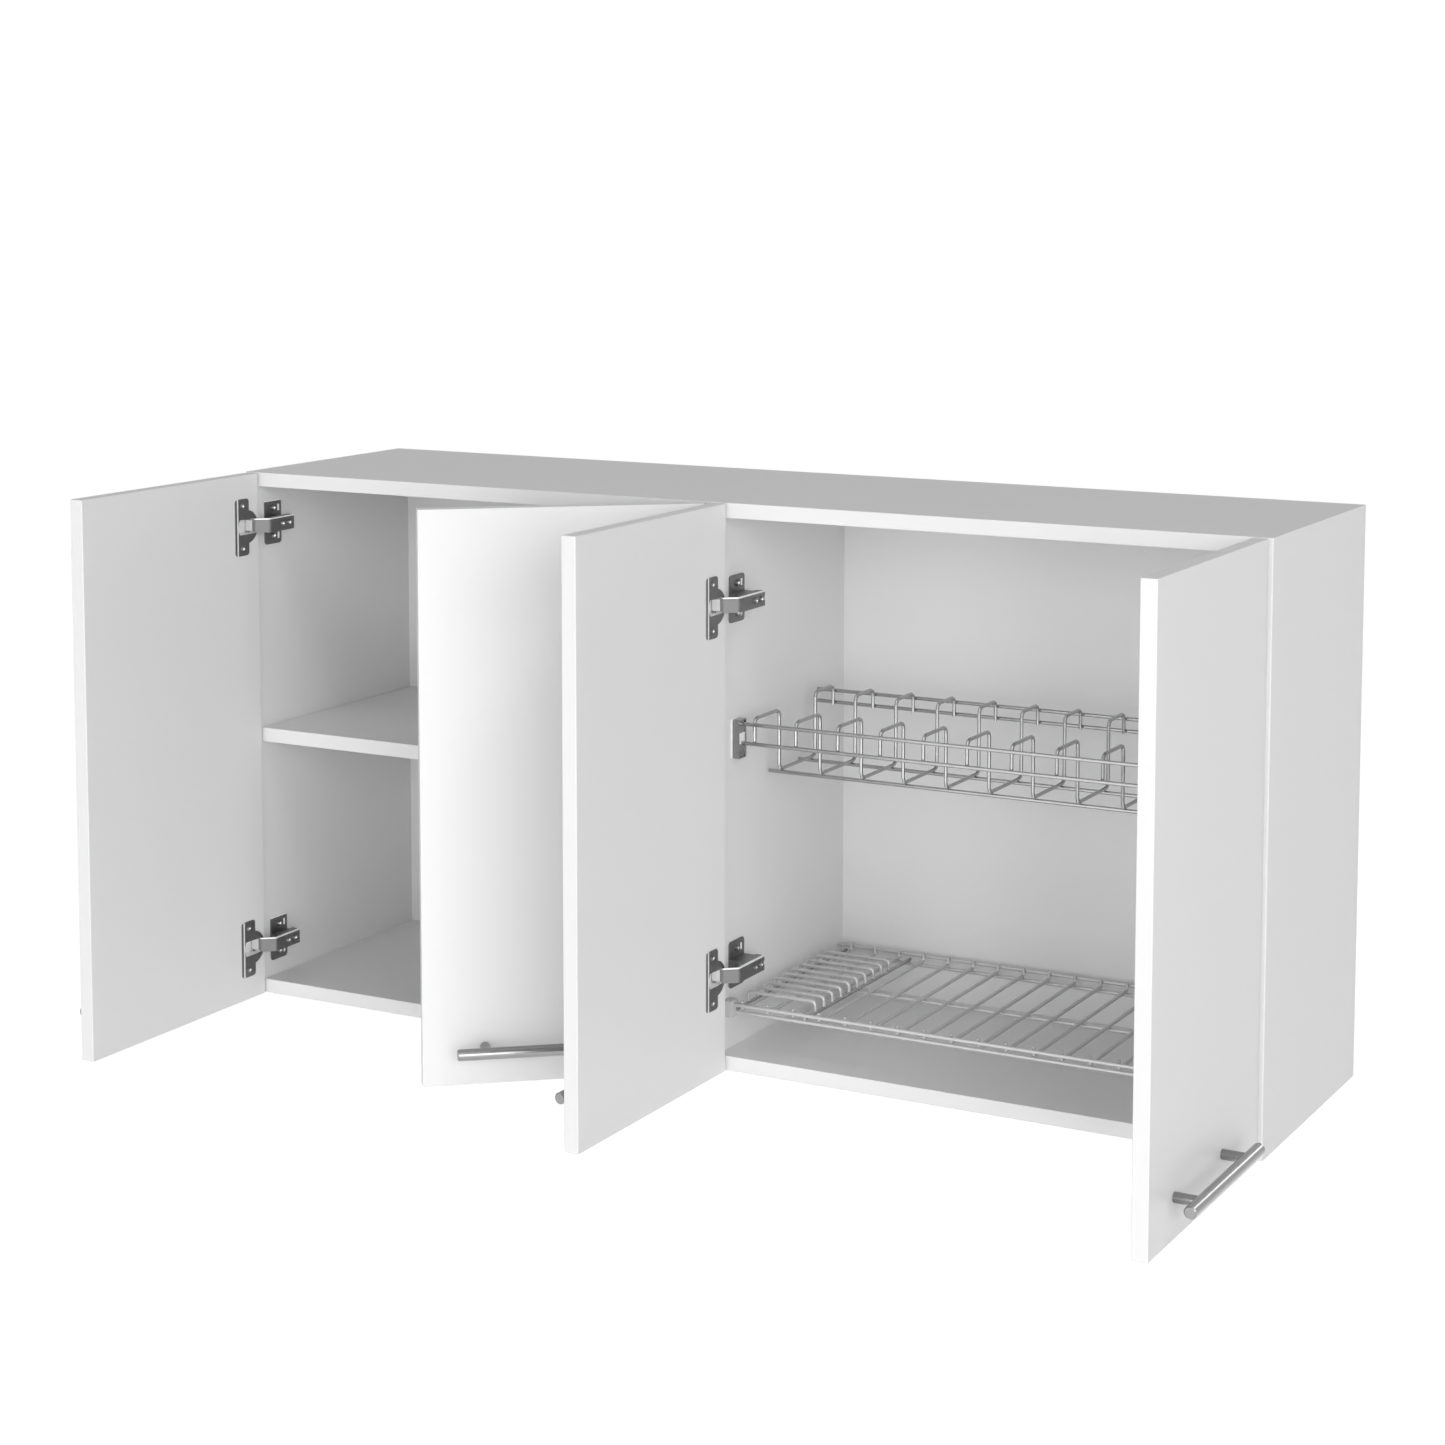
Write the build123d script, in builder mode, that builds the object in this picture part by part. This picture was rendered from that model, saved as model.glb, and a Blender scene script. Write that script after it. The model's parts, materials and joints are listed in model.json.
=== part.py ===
from build123d import *
from collections import namedtuple
from math import cos, radians, sin
import os

# Wall cabinet for a kitchen: a carcass of boards with two bays, four doors on
# concealed hinges, a shelf in the left bay, and a plate rack and a glass rack
# of wire in the right bay.
#
# Millimetres. +Z is up, the wall is the plane y = 0 and the front looks
# towards -Y. The origin is the middle of the back.

# Carcass boards
cabinet_width = 1200
cabinet_height = 600
carcass_depth = 300
board = 16
board_edge_round = 0.8
back_board = 4
rebate_width = 5
back_clearance = 0.5

# Hanging rails, which the wall screws pass through
rail_height = 40
wall_hole_diameter = 8
wall_hole_inset = 60

# Cams and bolts of the board joints
joint_front_inset = 50
joint_rear_inset = 45
cam_diameter = 15
cam_depth = 12.5
cam_setback = 34
bolt_shank_diameter = 6
bolt_thread_diameter = 5
bolt_thread_length = 11
bolt_reach_in_cam = 4

# Dowels
dowel_diameter = 8
dowel_length = 30
dowel_face_reach = 11
rail_dowel_reach = 7

# Small clearances of pieces seated in one another
seat_clearance = 0.05
bore_clearance = 0.05

# Shelf and its pins
shelf_clearance = 0.5
shelf_front_setback = 1
shelf_pin_diameter = 5
shelf_pin_reach = 10
shelf_pin_overhang = 9
shelf_pin_inset = 45

# Nails of the backs
nail_diameter = 1.6
nail_head_diameter = 4
nail_head_height = 0.6
nail_length = 18
nail_end_inset = 48

# Doors
door_board = 16
door_round = 1
door_height_reveal = 0.5
door_side_reveal = 2.5
door_gap = 3
door_front_gap = 3.2
left_hinge_inset = 59
right_hinge_inset = 105
wide_open_deg = 90
part_open_deg = 39.5

# Hinge pins, seen from the closed door's hinge edge and inner face
pin_inset = 8
pin_depth = 9
pin_diameter = 3
pin_half_length = 10.4

# Hinge cups
cup_diameter = 35
cup_edge_distance = 3
cup_depth = 12.7
cup_floor = 0.7
cup_wall = 1
pocket_half_height = 8.6
flange = 1
flange_rim = 1
flange_start = 10
flange_length = 24
flange_half_height = 32
flange_corner = 4
cup_screw_pitch = 48

# Hinge arms
eye_radius = 2.5
eye_half_height = 6
arm_sheet = 2
arm_half_height = 8
leg_first_angle_deg = 10
leg_first_length = 11
arm_outer_face = 24.5
arm_bend_height = 10.5
arm_bend_radius = 3
arm_wall = 1.5
arm_wall_depth = 9
arm_wall_start = 16
arm_wall_slope = 8
end_arm_end = 54
middle_arm_end = 66

# Mounting plates, on the board that carries the hinge
wing = 1.5
wing_half_height = 25
wing_corner = 4
end_plate_start = 23.2
middle_plate_start = 35.7
plate_length = 30
middle_plate_length = 32.5
saddle_clearance = 0.2
plate_screw_height = 16
plate_slot_offset = 9.5
plate_slot_length = 7
plate_slot_width = 3
arm_screw_inset = 9

# Screws: head diameter, head height, shank diameter, shank length
Screw = namedtuple("Screw", "head head_height shank length")
plate_screw = Screw(7, 2, 4, 12)
cup_screw = Screw(6.5, 1.5, 3.5, 10)
arm_screw = Screw(6.5, 2, 4, 8)

# Handles
handle_length = 196
handle_diameter = 10
handle_chamfer = 1
post_diameter = 9
post_pitch = 128
handle_start = 72
handle_reach = 28
handle_bottom_inset = 40
stud_diameter = 4
stud_depth = 10
stud_bar_depth = 3

# Wire racks; their bent wires have flat sides and bends in steps, to stay light
wire_diameter = 4
wire_sides = 8
wire_bend_steps = 2
weld_clearance = 0.05
rod_end_gap = 5

# Plate rack: depths from its front rods, levels from the middle of the height
plate_front_setback = 38
plate_upper_level = 62.5
plate_lower_level = 42
plate_shoulder_depth = 60
plate_trough_depth = 85
plate_trough_floor = 4
plate_rack_depth = 193
plate_rear_upper_level = 68
plate_rear_lower_level = 55
plate_wire_pitch = 48.5
plate_wire_end_gap = 20
plate_bottom_rod_inset = 8
plate_wire_bend = 6

# Brackets of the plate rack
bracket_width = 17
bracket_thickness = 9
bracket_below = 16
bracket_above = 5
bracket_wall = 1.5
bracket_corner = 2
insert_clearance = 0.1
insert_setback = 1
rod_seat_depth = 6

# Glass rack, with its height seen from the bottom panel
glass_front_setback = 17
glass_rear = 15
glass_floor_gap = 41.5
glass_rail_rise = 9
glass_rail_step = 6
glass_wire_bend = 3.5
glass_wire_above = 3.5
glass_wire_pitch = 30
glass_wire_start = 18
glass_wire_end_gap = 17
saucer_wire_pitch = 20
saucer_rear_gap = 59
saucer_front_gap = 20
saucer_start = 12.5
saucer_width = 79
saucer_rise = 12
clip_width = 16
clip_height = 18
clip_thickness = 10
clip_corner = 2

# Places worked out from the sizes above
half_width = cabinet_width / 2
half_height = cabinet_height / 2
side_inner = half_width - board
level_inner = half_height - board
board_middle = board / 2
bay_width = side_inner - board_middle
door_width = (half_width - 2 * door_side_reveal - door_gap) / 2
closed_inner_y = -carcass_depth - door_front_gap
pin_y = closed_inner_y - pin_depth
end_pin_x = half_width - door_side_reveal - pin_inset
middle_pin_x = door_side_reveal + pin_inset
cup_radius = cup_diameter / 2
cup_x = cup_edge_distance + cup_radius - pin_inset
pocket_radius = cup_radius - cup_wall
post_mean_inset = handle_start + handle_length / 2
handle_drop = half_height - handle_bottom_inset
plate_front = carcass_depth - plate_front_setback
plate_trough_front = plate_front - plate_shoulder_depth
plate_trough_rear = plate_trough_front - plate_trough_depth
plate_rear = plate_front - plate_rack_depth
plate_wire_count = int((bay_width - 2 * plate_wire_end_gap) / plate_wire_pitch) + 1
glass_front = carcass_depth - glass_front_setback
glass_lower_z = glass_floor_gap - level_inner
glass_wire_span = bay_width - glass_wire_start - glass_wire_end_gap
glass_wire_count = int(glass_wire_span / glass_wire_pitch) + 1
saucer_span = glass_front - saucer_front_gap - glass_rear - saucer_rear_gap
saucer_wire_count = int(saucer_span / saucer_wire_pitch) + 1

os.makedirs("parts", exist_ok=True)


def save(piece, name):
    """Label a finished piece and write its file"""
    piece.part.label = name
    export_step(piece.part, f"parts/{name}.step")


def block(x, y, z, mode=Mode.ADD):
    """Box between two values on each axis, in the piece being built"""
    with Locations(((x[0] + x[1]) / 2, (y[0] + y[1]) / 2, (z[0] + z[1]) / 2)):
        Box(abs(x[1] - x[0]), abs(y[1] - y[0]), abs(z[1] - z[0]), mode=mode)


def rod(start, direction, diameter, length, mode=Mode.ADD):
    """Round rod, or hole, from a point along a direction"""
    with Locations(Plane(origin=start, z_dir=direction)):
        Cylinder(diameter / 2, length, align=(Align.CENTER, Align.CENTER, Align.MIN), mode=mode)


def hole(start, direction, diameter, depth):
    """Round blind hole with the clearance of a seated pin"""
    rod(start, direction, diameter + 2 * seat_clearance, depth, Mode.SUBTRACT)


def round_front_edges(piece):
    """Soften the long edges of a board along the front of the carcass"""
    front = piece.edges().filter_by(Axis.Y, reverse=True).group_by(Axis.Y)[0]
    fillet(front, board_edge_round)


# Board joints: each mates the end of one board to the face of another
Joint = namedtuple("Joint", "mate into cam_face")

top_left = Joint(Vector(-side_inner, 0, half_height - board_middle), Vector(-1, 0, 0), Vector(0, 0, -1))
top_right = Joint(Vector(side_inner, 0, half_height - board_middle), Vector(1, 0, 0), Vector(0, 0, -1))
bottom_left = Joint(Vector(-side_inner, 0, board_middle - half_height), Vector(-1, 0, 0), Vector(0, 0, -1))
bottom_right = Joint(Vector(side_inner, 0, board_middle - half_height), Vector(1, 0, 0), Vector(0, 0, -1))
divider_top = Joint(Vector(0, 0, level_inner), Vector(0, 0, 1), Vector(-1, 0, 0))
divider_bottom = Joint(Vector(0, 0, -level_inner), Vector(0, 0, -1), Vector(-1, 0, 0))
joints = [top_left, top_right, bottom_left, bottom_right, divider_top, divider_bottom]

joint_front_y = joint_front_inset - carcass_depth
joint_rear_y = -joint_rear_inset
joint_rows = [Vector(0, joint_front_y, 0), Vector(0, joint_rear_y, 0)]
dowel_row = (joint_rows[0] + joint_rows[1]) / 2


def cut_end_board(joint):
    """Cam, bolt and dowel holes in the board whose end meets the other board"""
    for row in joint_rows:
        cam_centre = joint.mate + row - joint.into * cam_setback
        hole(cam_centre + joint.cam_face * board_middle, joint.cam_face * -1, cam_diameter, cam_depth)
        hole(joint.mate + row, joint.into * -1, bolt_shank_diameter, cam_setback)
    hole(joint.mate + dowel_row, joint.into * -1, dowel_diameter, dowel_length - dowel_face_reach)


def cut_face_board(joint):
    """Bolt and dowel holes in the board whose face is met"""
    for row in joint_rows:
        hole(joint.mate + row, joint.into, bolt_thread_diameter, bolt_thread_length)
    hole(joint.mate + dowel_row, joint.into, dowel_diameter, dowel_face_reach)


# Hanging rails, dowelled between the boards of their bay
RailEnd = namedtuple("RailEnd", "x into")
rail_y = -back_board - board_middle
rail_z = level_inner - rail_height / 2
rail_ends = {
    "left": [RailEnd(-side_inner, -1), RailEnd(-board_middle, 1)],
    "right": [RailEnd(board_middle, -1), RailEnd(side_inner, 1)],
}


def cut_rail_dowel(end):
    """Hole in a board for the dowel at one end of a hanging rail"""
    hole((end.x, rail_y, rail_z), (end.into, 0, 0), dowel_diameter, rail_dowel_reach)


def wall_holes(bay):
    """Drill the two wall screw holes of a bay through its rail or its back"""
    for end in rail_ends[bay]:
        x = end.x - end.into * wall_hole_inset
        rod((x, 0, rail_z), (0, -1, 0), wall_hole_diameter, back_board + board, Mode.SUBTRACT)


# Shelf pins, at the ends of the shelf
shelf_pin_z = -board_middle - shelf_pin_diameter / 2
shelf_pin_rows = [-shelf_pin_inset, shelf_pin_inset - carcass_depth]


def cut_shelf_pins(x, into):
    """Blind holes of two shelf pins in a board of the left bay"""
    for y in shelf_pin_rows:
        hole((x, y, shelf_pin_z), (into, 0, 0), shelf_pin_diameter, shelf_pin_reach)


# Doors: which side the hinges are on, where the pins stand and how far each is open
Door = namedtuple("Door", "number side pin_x hinge_z open_deg")
left_hinge_z = half_height - left_hinge_inset
right_hinge_z = half_height - right_hinge_inset
doors = [
    Door(1, 1, -end_pin_x, left_hinge_z, wide_open_deg),
    Door(2, -1, -middle_pin_x, left_hinge_z, part_open_deg),
    Door(3, 1, middle_pin_x, right_hinge_z, wide_open_deg),
    Door(4, -1, end_pin_x, right_hinge_z, wide_open_deg),
]


def hinge_plane(door, height, open_deg=0):
    """Plane on a hinge pin: x along the door's width, y into the cabinet when closed"""
    angle = radians(open_deg)
    along = (door.side * cos(angle), -sin(angle), 0)
    return Plane(origin=(door.pin_x, pin_y, height), x_dir=along, z_dir=(0, 0, door.side))


def hinge_places(door, open_deg=0):
    """Planes of the two hinges of a door"""
    return [hinge_plane(door, height, open_deg) for height in (-door.hinge_z, door.hinge_z)]


def is_end_door(door):
    """Whether a door hangs on a side panel, not on the divider"""
    return abs(door.pin_x) > half_width / 2


def board_face(door):
    """Distance from a hinge pin to the board face that carries its plate"""
    if is_end_door(door):
        return end_pin_x - side_inner
    return board_middle - middle_pin_x


def plate_span(door):
    """Front and rear of a mounting plate, seen from the hinge pin"""
    if is_end_door(door):
        return end_plate_start, end_plate_start + plate_length
    return middle_plate_start, middle_plate_start + middle_plate_length


def cut_plate_screws(door):
    """Pilot holes of the mounting plates' screws in the board that carries them"""
    start, end = plate_span(door)
    for plane in hinge_places(door):
        for height in (-plate_screw_height, plate_screw_height):
            point = plane.from_local_coords((board_face(door), (start + end) / 2, height))
            hole(point, (-door.side, 0, 0), plate_screw.shank, plate_screw.length)


# Backs, each in the rebates of its own bay, and the lines of their nails
back_inner = board_middle - rebate_width + back_clearance
back_outer = side_inner + rebate_width - back_clearance
back_top = level_inner + rebate_width - back_clearance
nail_outer_x = (side_inner + back_outer) / 2
nail_inner_x = (board_middle + back_inner) / 2
nail_z = (level_inner + back_top) / 2


def level_nail(side, level):
    """Place of the nail of one back in the top or the bottom panel"""
    return Vector(side * (nail_outer_x + nail_inner_x) / 2, 0, level * nail_z)


def nail_points(side):
    """Places of the nails of one back, along its rebates"""
    upright = [rank * (half_height - nail_end_inset) for rank in (-1, 0, 1)]
    points = [Vector(side * x, 0, z) for x in (nail_outer_x, nail_inner_x) for z in upright]
    return points + [level_nail(side, level) for level in (-1, 1)]


def cut_nails(low, high):
    """Nail holes of both backs in a board that lies between two values of x"""
    for side in (-1, 1):
        for point in nail_points(side):
            if low <= point.X <= high:
                hole(point, (0, -1, 0), nail_diameter, nail_length)


# Side panels
rebate_x = (side_inner, side_inner + rebate_width)
rebate_z = level_inner + rebate_width


def side_panel(side, panel_doors):
    """Side board with its rebate and all its holes; side is -1 left and 1 right"""
    own_joints = [joint for joint in joints if joint.into.X == side]
    with BuildPart() as piece:
        block(
            (side * side_inner, side * half_width),
            (-carcass_depth, 0),
            (-half_height, half_height),
        )
        round_front_edges(piece)
        block(
            (side * rebate_x[0], side * rebate_x[1]),
            (-back_board, 0),
            (-rebate_z, rebate_z),
            Mode.SUBTRACT,
        )
        for joint in own_joints:
            cut_face_board(joint)
        for end in rail_ends["left"] + rail_ends["right"]:
            if abs(end.x) == side_inner and end.into == side:
                cut_rail_dowel(end)
        for door in panel_doors:
            cut_plate_screws(door)
        cut_nails(*sorted((side * side_inner, side * half_width)))
        if side < 0:
            cut_shelf_pins(-side_inner, -1)
        else:
            cut_rack_rods(side_inner, 1)
    return piece


# Rods of the racks that run from board to board in the right bay
Rod = namedtuple("Rod", "y z")
plate_rods_in_brackets = [Rod(-plate_front, plate_upper_level), Rod(-plate_front, plate_lower_level)]
plate_rods_in_boards = [Rod(-plate_rear, plate_rear_upper_level), Rod(-plate_rear, plate_rear_lower_level)]
glass_upper_z = glass_lower_z + glass_rail_rise
glass_rods_in_clips = [Rod(-glass_front, glass_upper_z), Rod(glass_rail_step - glass_front, glass_lower_z)]
glass_rods_in_boards = [Rod(-glass_rear, glass_upper_z), Rod(-glass_rear - glass_rail_step, glass_lower_z)]


def cut_rack_rods(x, into):
    """Seats of the rear rods of both racks in a board of the right bay"""
    for place in plate_rods_in_boards + glass_rods_in_boards:
        hole((x, place.y, place.z), (into, 0, 0), wire_diameter, rod_seat_depth)


save(side_panel(-1, [doors[0]]), "left_side_panel")
save(side_panel(1, [doors[3]]), "right_side_panel")


# Centre divider
def cut_rear_rebates():
    """Rebates on both sides of the divider's rear edge"""
    for side in (-1, 1):
        block(
            (side * (board_middle - rebate_width), side * board_middle),
            (-back_board, 0),
            (-level_inner, level_inner),
            Mode.SUBTRACT,
        )


with BuildPart() as centre_divider:
    block((-board_middle, board_middle), (-carcass_depth, 0), (-level_inner, level_inner))
    round_front_edges(centre_divider)
    cut_rear_rebates()
    cut_end_board(divider_top)
    cut_end_board(divider_bottom)
    cut_rail_dowel(rail_ends["left"][1])
    cut_rail_dowel(rail_ends["right"][0])
    cut_shelf_pins(-board_middle, 1)
    cut_plate_screws(doors[1])
    cut_plate_screws(doors[2])
    cut_rack_rods(board_middle, -1)
    cut_nails(-board_middle, board_middle)
save(centre_divider, "centre_divider")


# Top and bottom panels
def level_panel(level, end_joints, face_joint):
    """Board between the sides; level is 1 for the top and -1 for the bottom"""
    with BuildPart() as piece:
        block(
            (-side_inner, side_inner),
            (-carcass_depth, 0),
            (level * level_inner, level * half_height),
        )
        round_front_edges(piece)
        block(
            (-side_inner, side_inner),
            (-back_board, 0),
            (level * level_inner, level * rebate_z),
            Mode.SUBTRACT,
        )
        for joint in end_joints:
            cut_end_board(joint)
        cut_face_board(face_joint)
        for side in (-1, 1):
            hole(level_nail(side, level), (0, -1, 0), nail_diameter, nail_length)
    return piece


save(level_panel(1, [top_left, top_right], divider_top), "top_panel")
save(level_panel(-1, [bottom_left, bottom_right], divider_bottom), "bottom_panel")

# Backs
def back_panel(side, bay):
    """Back of one bay, with its nail holes and wall screw holes"""
    with BuildPart() as piece:
        block((side * back_inner, side * back_outer), (-back_board, 0), (-back_top, back_top))
        wall_holes(bay)
        for point in nail_points(side):
            hole(point, (0, -1, 0), nail_diameter, back_board)
    return piece


save(back_panel(-1, "left"), "left_back_panel")
save(back_panel(1, "right"), "right_back_panel")


def hanging_rail(bay):
    """Rail between two boards, in front of the back"""
    ends = rail_ends[bay]
    with BuildPart() as piece:
        block(
            (ends[0].x, ends[1].x),
            (-back_board - board, -back_board),
            (level_inner - rail_height, level_inner),
        )
        wall_holes(bay)
        for end in ends:
            start = (end.x, rail_y, rail_z)
            hole(start, (-end.into, 0, 0), dowel_diameter, dowel_length - rail_dowel_reach)
    return piece


save(hanging_rail("left"), "left_hanging_rail")
save(hanging_rail("right"), "right_hanging_rail")

# Shelf
with BuildPart() as shelf:
    block(
        (-side_inner + shelf_clearance, -board_middle - shelf_clearance),
        (shelf_front_setback - carcass_depth, -back_board - shelf_clearance),
        (-board_middle, board_middle),
    )
    round_front_edges(shelf)
save(shelf, "shelf")

with BuildPart() as shelf_pins:
    for start_x, into in ((-side_inner, -1), (-board_middle, 1)):
        for y in shelf_pin_rows:
            start = (start_x + into * shelf_pin_reach, y, shelf_pin_z)
            rod(start, (-into, 0, 0), shelf_pin_diameter, shelf_pin_reach + shelf_pin_overhang)
save(shelf_pins, "shelf_pins")

# Cams, with the cross bore that the bolt reaches into
with BuildPart() as cam_discs:
    for joint in joints:
        for row in joint_rows:
            centre = joint.mate + row - joint.into * cam_setback
            rod(centre + joint.cam_face * board_middle, joint.cam_face * -1, cam_diameter, cam_depth)
            rod(centre, joint.into, bolt_shank_diameter + 2 * seat_clearance, cam_diameter, Mode.SUBTRACT)
save(cam_discs, "cam_discs")

with BuildPart() as cam_bolts:
    for joint in joints:
        for row in joint_rows:
            tip = joint.mate + row - joint.into * (cam_setback - bolt_reach_in_cam)
            rod(tip, joint.into, bolt_shank_diameter, cam_setback - bolt_reach_in_cam)
            rod(joint.mate + row, joint.into, bolt_thread_diameter, bolt_thread_length)
save(cam_bolts, "cam_bolts")

with BuildPart() as dowels:
    for joint in joints:
        start = joint.mate + dowel_row + joint.into * dowel_face_reach
        rod(start, joint.into * -1, dowel_diameter, dowel_length)
    for end in rail_ends["left"] + rail_ends["right"]:
        start = Vector(end.x + end.into * rail_dowel_reach, rail_y, rail_z)
        rod(start, (-end.into, 0, 0), dowel_diameter, dowel_length)
save(dowels, "dowels")

with BuildPart() as back_nails:
    for side in (-1, 1):
        for point in nail_points(side):
            rod(point, (0, -1, 0), nail_diameter, nail_length)
            rod(point, (0, 1, 0), nail_head_diameter, nail_head_height)
save(back_nails, "back_nails")

# Plate rack
wire_step = wire_diameter + weld_clearance
bay_start = board_middle
bay_end = side_inner
bay_middle = (bay_start + bay_end) / 2


def straight_rods(places, end_gap):
    """Rods along X at the given places, with a gap at both boards of the bay"""
    for place in places:
        start = (bay_start + end_gap, place.y, place.z)
        rod(start, (1, 0, 0), wire_diameter, bay_end - bay_start - 2 * end_gap)


def bend_points(before, corner, after, bend):
    """Points of a bend in chords, about a square corner between two others"""
    to_start = (before - corner).normalized() * bend
    to_end = (after - corner).normalized() * bend
    centre = corner + to_start + to_end
    turns = [radians(90 * step / wire_bend_steps) for step in range(wire_bend_steps + 1)]
    return [centre - to_end * cos(turn) - to_start * sin(turn) for turn in turns]


def bent_wire(points, bend):
    """Wire along its square corner points, with the same bend at each of them"""
    corners = [Vector(*point) for point in points]
    route_points = [corners[0]]
    for before, corner, after in zip(corners, corners[1:], corners[2:]):
        route_points += bend_points(before, corner, after, bend)
    route_points.append(corners[-1])
    with BuildPart() as piece:
        with BuildLine() as route:
            Polyline(*route_points)
        with BuildSketch(Plane(origin=route_points[0], z_dir=route.line % 0)):
            RegularPolygon(wire_diameter / 2, wire_sides)
        sweep(transition=Transition.RIGHT)
    return piece


def row_of(piece, count, pitch, middle, axis):
    """The same piece in a row along an axis, about a middle place"""
    for rank in range(count):
        with Locations(axis * (middle + (rank - (count - 1) / 2) * pitch)):
            add(piece.part)


# The two board faces of the right bay, each with the way into the bay
bay_faces = [(bay_start, 1), (bay_end, -1)]

floor_rod_z = plate_trough_floor - wire_step
floor_rods = [
    Rod(plate_bottom_rod_inset - plate_trough_front, floor_rod_z),
    Rod(-plate_trough_rear - plate_bottom_rod_inset, floor_rod_z),
]

with BuildPart() as plate_rack_rails:
    straight_rods(plate_rods_in_brackets, bracket_wall + insert_clearance)
    straight_rods(plate_rods_in_boards, -rod_seat_depth)
    straight_rods(floor_rods, rod_end_gap)
save(plate_rack_rails, "plate_rack_rails")

# Each cross wire hangs behind the front rails, makes the trough and ends at the rear rails
front_hang = wire_step - plate_front
rear_hang = -plate_rear - wire_step
front_shoulder = plate_upper_level + plate_wire_bend
rear_shoulder = plate_rear_upper_level + plate_wire_bend
cross_wire = bent_wire(
    [
        (0, front_hang, plate_lower_level - wire_diameter / 2),
        (0, front_hang, front_shoulder),
        (0, -plate_trough_front, front_shoulder),
        (0, -plate_trough_front, plate_trough_floor),
        (0, -plate_trough_rear, plate_trough_floor),
        (0, -plate_trough_rear, rear_shoulder),
        (0, rear_hang, rear_shoulder),
        (0, rear_hang, plate_rear_lower_level - wire_diameter / 2),
    ],
    plate_wire_bend,
)
with BuildPart() as plate_rack_cross_wires:
    row_of(cross_wire, plate_wire_count, plate_wire_pitch, bay_middle, Vector(1, 0, 0))
save(plate_rack_cross_wires, "plate_rack_cross_wires")

# Brackets of folded sheet with a white insert that holds the ends of the front rails
bracket_height = plate_upper_level - plate_lower_level + bracket_below + bracket_above
bracket_middle_z = plate_upper_level + bracket_above - bracket_height / 2


def bracket_outline(inset):
    """Rounded outline of a bracket, drawn in from its edge"""
    corner = bracket_corner if inset == 0 else bracket_corner - bracket_wall / 2
    with Locations((-plate_front, bracket_middle_z)):
        RectangleRounded(bracket_width - 2 * inset, bracket_height - 2 * inset, corner)


with BuildPart() as plate_rack_brackets:
    for face, way in bay_faces:
        with BuildSketch(Plane.YZ.offset(face)):
            bracket_outline(0)
        extrude(amount=way * bracket_thickness)
        with BuildSketch(Plane.YZ.offset(face + way * bracket_wall)):
            bracket_outline(bracket_wall)
        extrude(amount=way * bracket_thickness, mode=Mode.SUBTRACT)
save(plate_rack_brackets, "plate_rack_brackets")

with BuildPart() as plate_rack_inserts:
    for face, way in bay_faces:
        with BuildSketch(Plane.YZ.offset(face + way * bracket_wall)):
            bracket_outline(bracket_wall + insert_clearance)
        extrude(amount=way * (bracket_thickness - bracket_wall - insert_setback))
    for place in plate_rods_in_brackets:
        hole((bay_start, place.y, place.z), (1, 0, 0), wire_diameter, bay_width)
save(plate_rack_inserts, "plate_rack_inserts")

# Glass rack
middle_rod = Rod(-(glass_front + glass_rear) / 2, glass_lower_z)
depth_wire_z = glass_lower_z + wire_step
glass_front_hang = wire_step - glass_front
glass_rear_hang = -glass_rear - wire_step

with BuildPart() as glass_rack_rails:
    straight_rods(glass_rods_in_clips, clip_thickness / 2)
    straight_rods(glass_rods_in_boards, -rod_seat_depth)
    straight_rods([middle_rod], rod_end_gap)
save(glass_rack_rails, "glass_rack_rails")

depth_wire = bent_wire(
    [
        (0, glass_front_hang, glass_upper_z + glass_wire_above),
        (0, glass_front_hang, depth_wire_z),
        (0, glass_rear_hang, depth_wire_z),
        (0, glass_rear_hang, glass_upper_z + glass_wire_above),
    ],
    glass_wire_bend,
)
depth_wires_middle = bay_start + glass_wire_start + (glass_wire_count - 1) / 2 * glass_wire_pitch
with BuildPart() as glass_rack_depth_wires:
    row_of(depth_wire, glass_wire_count, glass_wire_pitch, depth_wires_middle, Vector(1, 0, 0))
save(glass_rack_depth_wires, "glass_rack_depth_wires")

# End wires along the depth carry the raised wires at the left of the rack
saucer_left = bay_start + saucer_start
saucer_right = saucer_left + saucer_width
with BuildPart() as glass_rack_end_wires:
    for x in (saucer_left, saucer_right):
        start = (x, glass_front_hang, depth_wire_z)
        rod(start, (0, 1, 0), wire_diameter, glass_rear_hang - glass_front_hang)
save(glass_rack_end_wires, "glass_rack_end_wires")

saucer_foot = depth_wire_z + wire_diameter / 2 + weld_clearance
saucer_wire = bent_wire(
    [
        (saucer_left, 0, saucer_foot),
        (saucer_left, 0, depth_wire_z + saucer_rise),
        (saucer_right, 0, depth_wire_z + saucer_rise),
        (saucer_right, 0, saucer_foot),
    ],
    glass_wire_bend,
)
saucer_rear_y = -glass_rear - saucer_rear_gap
saucer_middle_y = saucer_rear_y - (saucer_wire_count - 1) / 2 * saucer_wire_pitch
with BuildPart() as glass_rack_saucer_wires:
    row_of(saucer_wire, saucer_wire_count, saucer_wire_pitch, saucer_middle_y, Vector(0, 1, 0))
save(glass_rack_saucer_wires, "glass_rack_saucer_wires")

clip_middle = (-glass_front + glass_rail_step / 2, (glass_upper_z + glass_lower_z) / 2)
with BuildPart() as glass_rack_clips:
    for face, way in bay_faces:
        with BuildSketch(Plane.YZ.offset(face)):
            with Locations(clip_middle):
                RectangleRounded(clip_width, clip_height, clip_corner)
        extrude(amount=way * clip_thickness)
    for place in glass_rods_in_clips:
        start = (bay_start + clip_thickness / 2, place.y, place.z)
        hole(start, (1, 0, 0), wire_diameter, bay_width - clip_thickness)
save(glass_rack_clips, "glass_rack_clips")


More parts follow.
